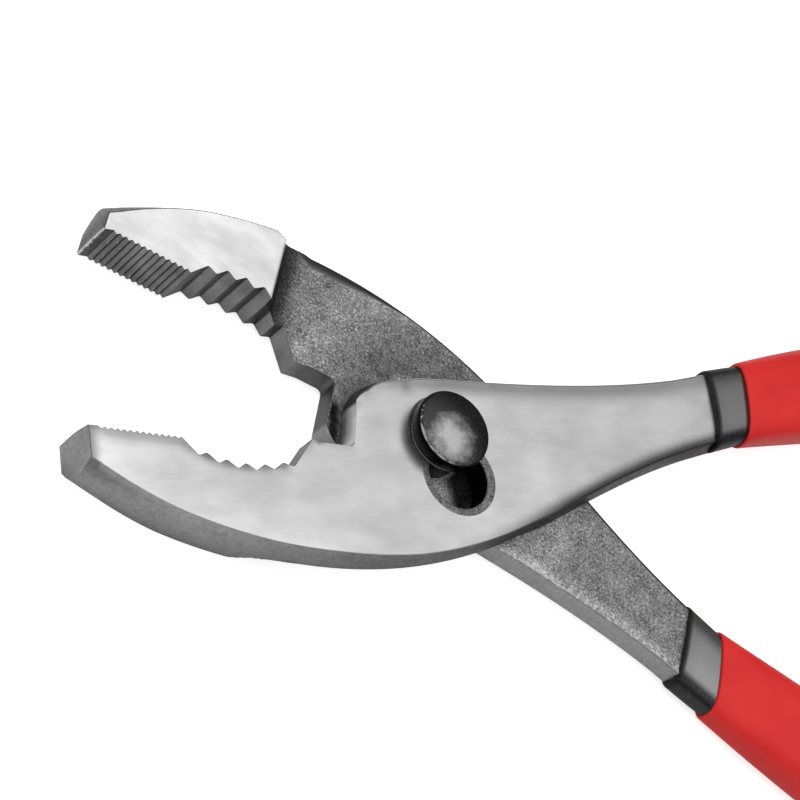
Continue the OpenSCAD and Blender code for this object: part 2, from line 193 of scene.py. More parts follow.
def flat_cap(loops, spacing, folds=()):
    """Triangles over the area inside the first loop and outside the others, with loose points on a
    triangular grid inside and close rows of them along folds at given x. Gives the grid points and
    the triangles, numbered loops first and grid after."""
    lo, hi = loops[0].min(0), loops[0].max(0)
    gx, gy = np.meshgrid(np.arange(lo[0], hi[0], spacing), np.arange(lo[1], hi[1], spacing * 0.866))
    gx[1::2] += spacing / 2
    grid = np.column_stack([gx.ravel(), gy.ravel()])
    for fold in folds:
        y = np.arange(lo[1], hi[1], spacing / 2)
        clear = grid[np.abs(grid[:, 0] - fold) > spacing * 0.45]
        grid = np.vstack([clear, np.column_stack([np.full(len(y), fold), y])])
    grid = grid[inside_loops(grid, loops)]
    grid = grid[np.min([gap_to_loop(grid, loop) for loop in loops], 0) > spacing * 0.3]
    first = np.cumsum([0] + [len(loop) for loop in loops])
    edges = np.vstack([np.column_stack([np.arange(len(loop)), np.roll(np.arange(len(loop)), -1)]) + n
                       for n, loop in zip(first, loops)])
    flat = np.vstack(loops + [grid])
    _, _, faces, origin, _, _ = delaunay_2d_cdt(flat.tolist(), edges.tolist(), [], 0, 1e-7)
    number = np.array([o[0] if o else -1 for o in origin])
    tris = number[np.array([f for f in faces if len(f) == 3])]
    tris = tris[(tris >= 0).all(1)]
    return grid, tris[inside_loops(flat[tris].mean(1), loops)]


def grid_quads(rows, columns):
    """Corner numbers of the quads between the points of a rows by columns grid of closed rings."""
    r, c = np.meshgrid(np.arange(rows - 1), np.arange(columns), indexing="ij")
    n = (c + 1) % columns
    return np.stack([r * columns + c, r * columns + n, (r + 1) * columns + n, (r + 1) * columns + c],
                    -1).reshape(-1, 4)


def step_arc(x):
    """Distance run along the lever's inner face at x: the jaw face, down the step, round its fillet,
    and on along the lap."""
    wall = HALF_T + PLATE_Z - STEP_R
    turn = np.arccos(np.clip(1 - (x + STEP_X) / STEP_R, -1, 1))
    fillet = -STEP_X + wall + STEP_R * np.minimum(turn, np.pi / 2)
    return np.where(x <= -STEP_X, x, fillet + np.maximum(0, x + STEP_X - STEP_R))


def step_point(run):
    """The x and z that lie at a distance run along the inner face."""
    wall = HALF_T + PLATE_Z - STEP_R
    turn = np.clip((run + STEP_X - wall) / STEP_R, 0, np.pi / 2)
    x = np.where(run <= -STEP_X, run, -STEP_X + STEP_R * (1 - np.cos(turn))
                 + np.maximum(0, run + STEP_X - wall - STEP_R * np.pi / 2))
    z = np.where(run <= -STEP_X, -HALF_T,
                 -HALF_T + np.clip(run + STEP_X, 0, wall) + STEP_R * np.sin(turn))
    return x, z


def corner_moves(inward, inset):
    """Moves of an outline's points that set each segment in by its own amount: at a bend, the one
    point at both distances; on a smooth run, the mean distance along the mean normal."""
    before, d0 = np.roll(inward, 1, 0), np.roll(inset, 1, -1)
    c = (inward * before).sum(1)
    bent = c < 0.97
    spare = np.where(bent, 1 - c**2, 1)
    mean = (d0 + inset) / 2 / (1 + np.maximum(c, 0))
    a = np.where(bent, (d0 - c * inset) / spare, mean)
    b = np.where(bent, (inset - c * d0) / spare, mean)
    return a[..., None] * before + b[..., None] * inward


def rolled_edge(points, loop, side, crests):
    """How far the belt rolls the outer face down near its edges: a straight bevel of a slope and width
    that eases into the flat at a further width, for each run of edges. Over the teeth it follows
    the line of their crests; along the outer edge it grows from the belly to the handle."""
    drop = np.zeros(len(points))
    pipe, grip = (np.interp(points[:, 0], span, [0, 1]) for span in ([-45, -41], [-8, 24]))
    for kinds, slope, bevel, end in (((TEETH,), 0.2 + 0.1 * pipe, 1.0, 2.6 - 1.1 * pipe),
                                     ((NOTCH,), 0.07, 0.3, 1.5),
                                     ((BOSS,), 0.2, 0.4, 2.2),
                                     ((INNER, TANG), 0.27, 0.3, 3.4),
                                     ((OUTER, JAW), 0.09 + 0.2 * grip, 0.6 - 0.3 * grip, 3.6 - grip),
                                     ((TIP,), 0.1, 0.5, 3.2)):
        line, keep = loop, np.isin(side, kinds)
        if TEETH in kinds:
            line, keep = crests, np.arange(len(crests)) < len(crests) - 1
        gap = gap_to_loop(points, line, keep)
        eased_part = (end - np.clip(gap, bevel, end)) ** 2 / (2 * (end - bevel))
        drop = np.maximum(drop, slope * (eased_part + np.maximum(0, bevel - gap)))
    return drop


def lever_skin(outline, grow, draft, top_r, lap_rx, lap_rz, roll, rub_top, rub_low, side_tone, hole):
    """The forging's skin in its own frame. A section of draft, crown and rounded edges is carried along the
    outline, caps close it, and rows of loops carry the pivot hole through it. Each list holds a value per
    kind of edge; grow makes up for what its roundings take off. Gives the points, the faces and their
    finishes, and each point's rub and painted light: painted shade and painted light that are multiplied into
    the colour."""
    path, kind, sunk = outline
    ahead = np.roll(path, -1, 0) - path
    length = np.maximum(np.hypot(*ahead.T), 1e-9)
    inward = np.column_stack([ahead[:, 1], -ahead[:, 0]]) / length[:, None]
    side = np.where((kind == JAW) & (np.roll(kind, -1) == TIP), TIP, kind)
    free = ~np.isin(side, (TEETH, NOTCH, TIP))
    along = np.cumsum(length) - length / 2
    apart = np.abs(along[:, None] - along)
    ease_len, lap_ramp, corner_r, notch_ramp, step_strip = 1.4, 2.5, 2.2, 3, 0.36
    weight = np.exp(-0.5 * (np.minimum(apart, length.sum() - apart) / ease_len) ** 2) * length * free

    def spread(values):
        """A value per segment, eased along the outline except on teeth, notch and tip."""
        exact = np.array(values, float)[side]
        return np.where(free, weight @ exact / np.maximum(weight.sum(1), 1e-9), exact)

    x, x_mid = path[:, 0], path[:, 0] + ahead[:, 0] / 2
    near_tip = np.clip((-x_mid - 45) / 14, 0, 1) ** 1.5 * (side == JAW)
    past_pivot = np.clip((-x_mid - 6) / 14, 0, 1) * (side == JAW)
    low = step_point(step_arc(x))[1]
    depth = np.clip((PLATE_Z - step_point(step_arc(x_mid))[1]) / (HALF_T + PLATE_Z), 0, 1)
    lap = np.clip((x_mid + STEP_X - STEP_R) / lap_ramp, 0, 1)
    corner = np.clip((x_mid + STEP_X + corner_r) / corner_r, 0, 1) * (side == JAW)
    grow = spread(grow)
    boss_run = along - along[side == BOSS].min()
    from_notch = np.where(side == BOSS, np.clip(boss_run / notch_ramp, 0.05, 1), 1)
    draft = spread(draft) * from_notch + 0.8 * near_tip + 0.5 * past_pivot
    top_r = spread(top_r) * from_notch
    crown = (spread([0, 0, 0, 0, 0, 0, 1.0, 0.1]) + 1.2 * near_tip
             + corner_r * (1 - np.sqrt(1 - corner**2))) * depth**2
    jaw_r = spread([0.05, 0.08, 0.1, 0.1, 0.1, 0.1, 0.22, 0.25])
    slimmer = np.where(side == JAW, np.interp(x_mid, [-20, -8], [1, 0.3]), 1)
    low_rx = lap * spread(lap_rx) * slimmer + (1 - lap) * jaw_r
    low_rz = (lap * spread(lap_rz) + (1 - lap) * jaw_r) * np.where(depth > 0.05, 1, lap)
    top_rz, low_rz = ((r + np.roll(r, 1)) / 2 for r in (np.minimum(top_r, 0.7), low_rz))
    mid = PLATE_Z + np.clip((x + STEP_X - STEP_R) / lap_ramp, 0, 1) * low_rz

    low_turn, top_turn = np.radians([[90, 67.5, 45, 22.5]]).T, np.radians([[18, 36, 54, 72, 90]]).T
    low_rows, top_rows = len(low_turn), len(top_turn)
    fall, climb = np.array([[1, 0.75, 0.5, 0.25, 0]]).T, np.array([[0.25, 0.5, 0.75, 1]]).T
    inset = np.vstack([crown + low_rx * (1 - np.cos(low_turn)), crown * fall**2, draft * climb**1.6,
                       draft + top_r * (1 - np.cos(top_turn))]) - grow
    moves = corner_moves(inward, inset)
    moves[:, (x > -STEP_X - 1e-3) & (x < -STEP_X + STEP_R + 1e-3), 0] = 0
    flat = path + moves
    flat[..., 0] = np.where(x <= -STEP_X, np.minimum(flat[..., 0], -STEP_X), flat[..., 0])
    crests = flat[-1][(kind == TEETH) & (sunk < 0.12)]
    top = face_top(path) - roll * rolled_edge(flat[-1], flat[-1], side, crests)
    height = np.vstack([low + low_rz * (1 - np.sin(low_turn)),
                        mid + (np.minimum(low + low_rz, mid) - mid) * fall,
                        mid + (top - top_rz - mid) * climb, top - top_rz * (1 - np.sin(top_turn))])
    wall = np.concatenate([flat, height[..., None]], 2)
    rows, columns = height.shape
    quads = grid_quads(rows, columns)
    row, column = quads[:, 0] // columns, side[quads[:, 0] % columns]
    ground = (row > rows - top_rows) & (column != NOTCH)
    finish = np.where(column == TEETH, CUT, np.where(ground, FACE, SIDES))

    rub = np.zeros((rows, columns))
    rub[:low_rows], rub[-top_rows:] = np.array(rub_low)[kind], np.array(rub_top)[kind]
    rub[:, 0] = rub_low[TIP]
    rub = np.maximum(rub, 0.35 * ((kind == TEETH) & (sunk < 0.1) & (x < -FINE_END_X)))

    def face_tone(at):
        """Painted light on the ground outer face: lighter towards the jaw's tip, a painted highlight in a
        band just in from the tip's own edge, and painted shade right at that edge and along the handle's
        lower edge."""
        # Painted light, lighter towards the jaw's tip.
        bar = np.interp(at[:, 0], [-59, -48, -30, -12, -4, 15, 30, 50],
                        [1.08, 1, 0.95, 0.9, 0.98, 1, 0.94, 0.93])
        # Painted shade right at the tip's edge, a painted highlight just in from it.
        tip = np.interp(gap_to_loop(at, flat[-1], side == TIP), [0, 0.5, 1.4, 3, 6],
                        [0.5, 0.72, 1.1, 1.08, 1])
        # Painted shade along the handle's lower edge.
        low_edge = np.isin(side, (OUTER, JAW))
        edge_shade = np.interp(gap_to_loop(at, flat[-1], low_edge), [0, 0.45, 1.3], [0.8, 0.45, 0])
        return bar * tip * (1 - edge_shade * np.interp(at[:, 0], [0, 22], [0, 1]))

    def lap_tone(at):
        """Painted light on the inner face: painted shade in the step's fillet and round the pivot, painted
        light on one side of the bolt and a painted shadow on its other side, a painted shadow along the
        corner where the other lever's notch ends, and painted light along the inner edge."""
        ax, ay = at.T
        away = np.hypot(ax, ay)
        near = np.clip((12 - away) / 2, 0, 1)
        # Painted light on one side of the bolt, painted shadow on the other.
        bolt_light_and_shadow = np.interp(0.867 * ax - 0.498 * ay, [-1.5, 0.8, 2.2], [1.8, 1.0, 0.06])
        # Painted light along the inner edge.
        edge = np.interp(gap_to_loop(at, flat[0], side == INNER), [0.4, 2.4], [1.5, 1])
        # Painted shade round the pivot, lighter further out.
        ring = np.interp(away, [10, 15, 20, 24, 28], [0.5, 0.56, 0.85, 1.1, 0.78])
        wear_and_painted_light = ring * np.interp(ax, [6, 16], [1, 1.1]) * edge
        notch_line = np.array([[-16.5, 1.3], [-15.0, 8.5]])
        # Painted shadow along the other lever's notch wall.
        notch_shadow = np.interp(gap_to_loop(at, notch_line), [0.6, 1.4], [0.08, 1])
        # Painted shade in the step's fillet.
        fillet = np.interp(ax + STEP_X, [-step_strip, 0, 0.5, 2.3, 3.8, 5.4],
                           [1, 0.5, 0.36, 0.16, 0.3, 1])
        return np.where(ax < -STEP_X, 1, ((1 - near) * wear_and_painted_light + near * bolt_light_and_shadow) * notch_shadow) * fillet

    # Painted shade on the teeth: darker on the flanks that run down into a valley, darkest at the valley
    # floors.
    flank = np.roll(sunk, -1) - np.roll(sunk, 1)
    teeth = np.where(flank > 0.02, 0.32, 0.85) * np.where((sunk > 0.3) & (np.abs(flank) < 0.2), 0.3, 1)
    # Painted shade on the lower sides: darker from the jaw's tip to the handle.
    darker = np.interp(x, [-59, -40, -15, 0, 15, 50], [1, 0.95, 0.5, 0.2, 0.06, 0.03])
    # Painted shade and light, one value per kind of edge.
    tone = np.array(side_tone)[kind] * np.where(kind == TEETH, teeth, 1)
    tone = tone * np.where(np.isin(kind, (OUTER, JAW)), darker, 1)
    # Painted shade and light on the jaw's sides: darker towards the bottom, lighter towards the top.
    upward = np.interp(np.arange(rows), [low_rows, rows - top_rows - 1], [0.45, 1.22])[:, None]
    tone = tone * np.where(kind == JAW, upward, 1)
    tone[1 - top_rows:] = np.where(kind == NOTCH, tone[1 - top_rows:], face_tone(flat[-1]))
    tone[-1], tone[0] = face_tone(flat[-1]), lap_tone(flat[0])
    points, faces, finishes = [wall.reshape(-1, 3)], [quads], [finish]
    rubs, tones = [rub.ravel()], [tone.ravel()]
    count = rows * columns

    per = len(hole[0][0])
    hole_at = count + np.arange(len(hole) * per).reshape(len(hole), per)
    points.append(np.vstack([np.column_stack([loop, np.full(per, z)]) for loop, z, _ in hole]))
    faces.append(grid_quads(len(hole), per) + count)
    finishes.append(np.repeat([f for _, _, f in hole[:-1]], per))
    rubs.append(np.zeros(len(hole) * per))
    tones.append(np.ones(len(hole) * per))
    count += hole_at.size

    loops = [flat[-1], hole[0][0]]
    grid, tris = flat_cap(loops, 0.9)
    number = np.concatenate([(rows - 1) * columns + np.arange(columns), hole_at[0],
                             count + np.arange(len(grid))])
    rolled = roll * rolled_edge(grid, flat[-1], side, crests)
    points.append(np.column_stack([grid, face_top(grid) - rolled]))
    faces.append(number[tris])
    finishes.append(np.full(len(tris), FACE))
    rubs.append(np.zeros(len(grid)))
    tones.append(face_tone(grid))
    count += len(grid)

    loops = [np.column_stack([step_arc(loop[:, 0]), loop[:, 1]]) for loop in (flat[0], hole[-1][0])]
    in_fillet = STEP_R * (1 - np.cos(np.radians([30, 64]))) - STEP_X
    fold = np.append([-STEP_X - step_strip, -STEP_X], step_arc(in_fillet))
    grid, tris = flat_cap(loops, 0.75, fold)
    number = np.concatenate([np.arange(columns), hole_at[-1], count + np.arange(len(grid))])
    gx, gz = step_point(grid[:, 0])
    points.append(np.column_stack([gx, grid[:, 1], gz]))
    faces.append(number[tris])
    run = np.vstack(loops + [grid])[tris, 0].mean(1)
    finishes.append(np.where(run < fold[1], JAW_FACE, np.where(run < fold[-1], STEP, LAP)))
    from_edge, rub_reach = gap_to_loop(grid, loops[0], side == INNER), 1.2
    rubs.append(rub_low[INNER] * np.exp(-(from_edge / rub_reach) ** 2))
    tones.append(lap_tone(np.column_stack([gx, grid[:, 1]])))
    return np.vstack(points), faces, finishes, np.concatenate(rubs), np.concatenate(tones)


def put_mesh(name, points, faces, finishes, materials, rub=0.0, tone=1.0, bend=34):
    """Writes points in millimetres and faces to a mesh at the origin, with each point's rub and painted light
    (painted shade and light for the colour), merges doubled points, turns the faces outwards, and smooths
    bends below the given angle inside each finish."""
    mesh = bpy.data.meshes.new(name)
    corners = [f for part in faces for f in part.tolist()]
    mesh.from_pydata((np.asarray(points) * MM).tolist(), [], corners)
    mesh.polygons.foreach_set("material_index", np.concatenate(finishes).astype(np.int32))
    for title, value in (("rub", rub), ("tone", tone)):
        values = np.broadcast_to(value, len(points)).astype(np.float32)
        mesh.attributes.new(title, "FLOAT", "POINT").data.foreach_set("value", values)
    for material in materials:
        mesh.materials.append(material)
    shape = bmesh.new()
    shape.from_mesh(mesh)
    bmesh.ops.remove_doubles(shape, verts=shape.verts, dist=1.5e-6)
    bmesh.ops.dissolve_degenerate(shape, edges=shape.edges, dist=1e-7)
    bmesh.ops.recalc_face_normals(shape, faces=shape.faces)
    shape.to_mesh(mesh)
    shape.free()
    mesh.polygons.foreach_set("use_smooth", np.ones(len(mesh.polygons), bool))
    mesh.set_sharp_from_angle(angle=np.radians(bend))
    finish, sides = (np.zeros(len(mesh.polygons), np.int32) for _ in range(2))
    mesh.polygons.foreach_get("material_index", finish)
    mesh.polygons.foreach_get("loop_total", sides)
    edge, sharp = np.zeros(len(mesh.loops), np.int32), np.zeros(len(mesh.edges), bool)
    mesh.loops.foreach_get("edge_index", edge)
    mesh.edges.foreach_get("use_edge_sharp", sharp)
    low, high = np.full(len(sharp), 99), np.full(len(sharp), -1)
    np.minimum.at(low, edge, np.repeat(finish, sides))
    np.maximum.at(high, edge, np.repeat(finish, sides))
    mesh.edges.foreach_set("use_edge_sharp", sharp | (low != high))
    piece = bpy.data.objects.new(name, mesh)
    bpy.context.scene.collection.objects.link(piece)
    return piece


def put_plain(name, points, quads, material, **more):
    """A mesh of quads with one finish."""
    return put_mesh(name, points, [quads], [np.zeros(len(quads), int)], [material], **more)


def add(tree, kind, settings=None, ins=None):
    """Adds a shader node, sets its properties, and fills or links sockets by name or number."""
    made = tree.nodes.new(kind)
    for name, value in (settings or {}).items():
        setattr(made, name, value)
    for name, value in (ins or {}).items():
        if isinstance(value, bpy.types.NodeSocket):
            tree.links.new(value, made.inputs[name])
        else:
            made.inputs[name].default_value = value
    return made


def texture_at(tree, size, turn=0.0):
    """Object coordinates turned about Z and divided by a pattern's size in millimetres."""
    where = add(tree, "ShaderNodeTexCoord").outputs["Object"]
    return add(tree, "ShaderNodeMapping", {"vector_type": "TEXTURE"},
               {"Vector": where, "Rotation": (0, 0, turn), "Scale": np.broadcast_to(size, 3) * MM}).outputs[0]


def noise(tree, size, turn=0.0, detail=3.0, rough=0.5, warp=0.0):
    """Fractal noise with lumps of about the given size in millimetres."""
    return add(tree, "ShaderNodeTexNoise", None, {"Vector": texture_at(tree, size, turn), "Scale": 1.0,
                                                  "Detail": detail, "Roughness": rough,
                                                  "Distortion": warp}).outputs[0]


def remap(tree, value, low, high, to_low=0.0, to_high=1.0):
    """A value's range low to high stretched to another range, and held at its ends."""
    return add(tree, "ShaderNodeMapRange", None, {"Value": value, "From Min": low, "From Max": high,
                                                  "To Min": to_low, "To Max": to_high}).outputs[0]


def maths(tree, operation, a, b):
    """One arithmetic step on two values."""
    return add(tree, "ShaderNodeMath", {"operation": operation}, {0: a, 1: b}).outputs[0]


def shares(tree, *terms):
    """Sum of values, each times its share."""
    total = maths(tree, "MULTIPLY", *terms[0])
    for term in terms[1:]:
        total = maths(tree, "ADD", total, maths(tree, "MULTIPLY", *term))
    return total


def blend(tree, mask, a, b):
    """Colour a where the mask is 0, b where it is 1; a plain number is a grey."""
    a, b = (v if isinstance(v, bpy.types.NodeSocket) else (*np.broadcast_to(v, 3), 1.0) for v in (a, b))
    return add(tree, "ShaderNodeMix", {"data_type": "RGBA"}, {0: mask, 6: a, 7: b}).outputs[2]


def attribute(tree, title):
    """One of the mesh's own values at its points."""
    return add(tree, "ShaderNodeAttribute", {"attribute_name": title}).outputs["Fac"]


def surface(name, metal, fixed=None):
    """A new material with one Principled shader: its tree and the shader."""
    material = bpy.data.materials.new(name)
    material.use_nodes = True
    shader = material.node_tree.nodes["Principled BSDF"]
    shader.inputs["Metallic"].default_value = metal
    for socket, value in (fixed or {}).items():
        shader.inputs[socket].default_value = value
    return material, material.node_tree, shader


def relief(tree, shader, height, depth, strength):
    """Bumps of the given depth in millimetres on the shader's normal."""
    bump = add(tree, "ShaderNodeBump", None, {"Height": height, "Distance": depth * MM,
                                              "Strength": strength})
    tree.links.new(bump.outputs[0], shader.inputs["Normal"])


# One node group for every steel turns the mesh's rub, and the highlight painted on with it, into a ragged
# mask of bare metal.
edge_wear_and_highlight = bpy.data.node_groups.new("edge_wear_and_highlight", "ShaderNodeTree")
for title, way in (("RubAndHighlight", "INPUT"), ("Mask", "OUTPUT")):
    edge_wear_and_highlight.interface.new_socket(title, in_out=way, socket_type="NodeSocketFloat")
given, result = (edge_wear_and_highlight.nodes.new(kind) for kind in ("NodeGroupInput", "NodeGroupOutput"))
ragged = remap(edge_wear_and_highlight, noise(edge_wear_and_highlight, 0.6, detail=4.0), 0.32, 0.68)
rubbed = maths(edge_wear_and_highlight, "ADD", given.outputs["RubAndHighlight"], ragged)
edge_wear_and_highlight.links.new(remap(edge_wear_and_highlight, rubbed, 1.0, 1.4), result.inputs["Mask"])


def weathered(tree, shader, colour, bare):
    """Colours a surface: bare metal where its edges are rubbed and where a highlight is painted along an
    edge, and all of it times the mesh's painted light, which puts painted shade and light into the colour.
    """
    bare_mask_node = add(tree, "ShaderNodeGroup", {"node_tree": edge_wear_and_highlight}, {"RubAndHighlight": attribute(tree, "rub")})
    wear_and_painted_light = blend(tree, bare_mask_node.outputs["Mask"], colour, bare)
    toned = add(tree, "ShaderNodeVectorMath", {"operation": "SCALE"},
                {0: wear_and_painted_light, "Scale": attribute(tree, "tone")})
    tree.links.new(toned.outputs[0], shader.inputs["Base Color"])


def ground_steel(name, dark, light, turn, rough, streak=0.4, bare=0.9):
    """Belt-ground steel, dark to light grey: short fine strokes one way over cloudy patches."""
    material, tree, shader = surface(name, 1.0)
    strokes = noise(tree, (5, 0.16, 2), turn, detail=4.0, rough=0.65)
    patches = noise(tree, (9, 5, 7), turn, rough=0.55)
    grain = shares(tree, (strokes, streak), (patches, 1 - streak))
    weathered(tree, shader, blend(tree, remap(tree, grain, 0.36, 0.64), dark, light), bare)
    tree.links.new(remap(tree, grain, 0.35, 0.65, rough + 0.05, rough - 0.05), shader.inputs["Roughness"])
    relief(tree, shader, strokes, 0.01, 0.4)
    return material


def forged_skin(name, dark, light, grain, rough, depth, bare=0.5):
    """Grainy forge skin, dark to light grey: wavy fine pits between crests, on broader mottling."""
    material, tree, shader = surface(name, 1.0)
    fine = noise(tree, grain, rough=0.6, warp=0.8)
    broad = noise(tree, grain * 8)
    mix = shares(tree, (fine, 0.75), (broad, 0.25))
    weathered(tree, shader, blend(tree, remap(tree, mix, 0.36, 0.66), dark, light), bare)
    tree.links.new(remap(tree, mix, 0.35, 0.65, rough + 0.1, rough - 0.08), shader.inputs["Roughness"])
    relief(tree, shader, fine, depth, 0.8)
    return material


polished_jaw = ground_steel("polished_jaw_face", 0.72, 0.97, -JAW_OPEN, rough=0.3, streak=0.25)
# The sides' dark grey is partly the forge skin and partly painted shade.
tumbled_side_shaded = forged_skin("tumbled_side_shaded", 0.26, 0.33, grain=0.6, rough=0.42, depth=0.02)
cut_teeth = ground_steel("broached_teeth", 0.16, 0.3, -JAW_OPEN, rough=0.4, streak=0.3, bare=0.75)
forge_lap = forged_skin("forged_lap", 0.18, 0.89, grain=0.36, rough=0.46, depth=0.4, bare=0.95)
# Near black bores: painted shade inside the holes.
bore_shade_skin = forged_skin("bore_steel_shaded", 0.01, 0.03, grain=0.3, rough=0.5, depth=0.03)
# A darker copy of the forge skin for the step's fillet: painted shade at the foot of the step.
step_shaded_skin = forged_skin("step_fillet_shaded", 0.12, 0.3, grain=0.6, rough=0.4, depth=0.02)
rear_face = ground_steel("rear_face", 0.5, 0.66, np.radians(-28), rough=0.36)


def keyed_circle(radius, flat, lean=0.0, count=96):
    """A circle cut by two flats at a distance from its centre, whose common normal leans by an angle."""
    turn = np.linspace(0, 2 * np.pi, count, endpoint=False)
    reach = np.minimum(radius, flat / np.maximum(np.abs(np.cos(turn - lean)), 1e-6))
    return np.column_stack([np.cos(turn), np.sin(turn)]) * reach[:, None]


def on_front(points):
    """Own frame of a lever to the row frame, for the slotted side."""
    return points + [0, 0, MID_Z]


def on_back(points):
    """Own frame of a lever to the row frame, for the pinned side: turned over and swung open."""
    x, y, z = points[:, 0], -points[:, 1], -points[:, 2]
    c, d = np.cos(JAW_OPEN), np.sin(JAW_OPEN)
    return np.column_stack([x * c + y * d, y * c - x * d, z + MID_Z])


KEY_R, KEY_FLAT, KEY_FIT, SLOT_LEAN = 4.95, 3.7747, 0.02, np.radians(15)
SEAT_R, SEAT_Z = 6.65, HALF_T - 1.4
seat = keyed_circle(SEAT_R, SEAT_R)
key = keyed_circle(KEY_R + KEY_FIT, KEY_FLAT + KEY_FIT, -SLOT_LEAN - JAW_OPEN)
# The last per-edge list paints shade onto this lever's notch walls and the tip's end.
points, faces, finishes, rub, tone = lever_skin(
    lever_outline(jaw=(59.2, 5.0, 5.2, 1.6, 0.42), pipe_shift=0.6, lip_shift=1.3, boss=(0.2, 147, 0.5)),
    grow=[0.05, 0.05, 0, 0.1, 0, 0.1, 0.25, 0.1], draft=[0, 0.03, 0.2, 0.05, 0.25, 0.3, 0.45, 0.05],
    top_r=[0.05, 0.08, 0.2, 0.35, 0.6, 0.6, 0.3, 0.2], roll=0.25,
    lap_rx=[0.06, 0.1, 0.2, 0.25, 0.3, 0.6, 2.0, 0.2], lap_rz=[0.06, 0.1, 0.15, 0.25, 0.3, 0.3, 0.5, 0.2],
    rub_top=[0.3, 0.2, 0.2, 0.3, 0, 0.2, 0.3, 0.3], rub_low=[0.2, 0.6, 0.4, 0.45, 0, 0, 0, 1.5],
    side_tone=[1, 0.42, 1, 1, 1, 1, 1, 0.34],
    hole=[(seat, HALF_T, BORE), (seat, SEAT_Z, BORE), (key, SEAT_Z, BORE), (key, PLATE_Z, BORE)])
rear_skins = [rear_face, tumbled_side_shaded, cut_teeth, bore_shade_skin, forge_lap, polished_jaw, step_shaded_skin]
pinned_lever = put_mesh("pinned_lever_forging", on_back(points), faces, finishes, rear_skins, rub, tone,
                        bend=24)
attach(pinned_lever, "pinned_side")
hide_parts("pinned_lever")


# Slotted lever
# The front lever is the same forging turned over, with a two-lobed slot punched through its boss so
# the bolt can sit in either place. Its outer face is belt-ground to a satin along its length.
SLOT_R, SLOT_PITCH = 5.05, 6.43


def slot_loop(radius, count=48):
    """Outline of two circles a pitch apart, each drawn from where it meets the other."""
    open_by = np.arccos(SLOT_PITCH / 2 / radius)
    turn = np.linspace(open_by, 2 * np.pi - open_by, count, endpoint=False) + SLOT_LEAN - np.pi / 2
    lobe = radius * np.column_stack([np.cos(turn), np.sin(turn)])
    step = SLOT_PITCH * np.array([np.sin(SLOT_LEAN), -np.cos(SLOT_LEAN)])
    return np.vstack([lobe, step - lobe])


satin_face = ground_steel("satin_face", 0.6, 0.74, np.radians(7.5), rough=0.34, streak=0.35)
slot_ledge = forged_skin("slot_ledge", 0.1, 0.44, grain=0.35, rough=0.5, depth=0.2)
front_teeth = ground_steel("front_teeth", 0.09, 0.16, 0.0, rough=0.4, streak=0.3, bare=0.5)
ledge = [(6.35, 0, LEDGE), (6.0, 0.03, LEDGE), (5.6, 0.07, LEDGE), (5.25, 0.12, LEDGE), (5.1, 0.26, BORE),
         (SLOT_R, 0.5, BORE), (SLOT_R, HALF_T - PLATE_Z, BORE)]
# The last per-edge list paints light onto this lever's notch walls and shade onto the boss's wall.
points, faces, finishes, rub, tone = lever_skin(
    lever_outline(jaw=(58.9, 5.5, 6.5, 2.2, 1.7), pipe_shift=0, lip_shift=0, boss=(1.2, 156, 0.4)),
    grow=[0.05, 0.05, 0.05, 0.45, 0, 0.65, 0.1, 0.35], draft=[0, 0.03, 0.7, 0.1, 0.25, 0.5, 0.45, 0.5],
    top_r=[0.05, 0.04, 0.4, 0.5, 0.6, 0.8, 0.3, 0.35], roll=1.0,
    lap_rx=[0.06, 0.1, 0.2, 0.3, 0.3, 0.3, 0.3, 0.2], lap_rz=[0.06, 0.1, 0.15, 0.3, 0.3, 0.3, 0.3, 0.2],
    rub_top=[0, 0, 0.2, 0, 0, 0, 0, 0.2], rub_low=[0.3, 0.3, 0.3, 0.3, 0, 0.2, 0.2, 0.3],
    side_tone=[1, 2.4, 0.3, 1, 1, 1, 1, 1],
    hole=[(slot_loop(radius), HALF_T - deep, finish) for radius, deep, finish in ledge])
front_skins = [satin_face, tumbled_side_shaded, front_teeth, bore_shade_skin, forge_lap, polished_jaw, step_shaded_skin,
               slot_ledge]
slotted_lever = put_mesh("slotted_lever_forging", on_front(points), faces, finishes, front_skins, rub, tone,
                         bend=24)
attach(slotted_lever, "slotted_side")
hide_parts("slotted_lever")


# Pivot bolt
# Turned steel bolt with a low domed head, blackened in hot oxide. Its shank has two flats that key
# into the pinned lever and pass the waist of the slot; the crown of the head is rubbed bare.
FRONT_Z = MID_Z + HALF_T
HEAD_R, HEAD_Z, RIM_Z, DOME_H = 6.1, FRONT_Z + 0.53, FRONT_Z + 2.6, 1.0
STUD_R, STUD_CHAMFER, NUT_T = 3.5, 0.6, 2.85


def spun(reach, height, angle):
    """Rings of points round Z at the given radii and heights, and the quads between them."""
    skin = np.stack([reach * np.cos(angle), reach * np.sin(angle), np.broadcast_to(height, reach.shape)], -1)
    return skin.reshape(-1, 3), grid_quads(*reach.shape)


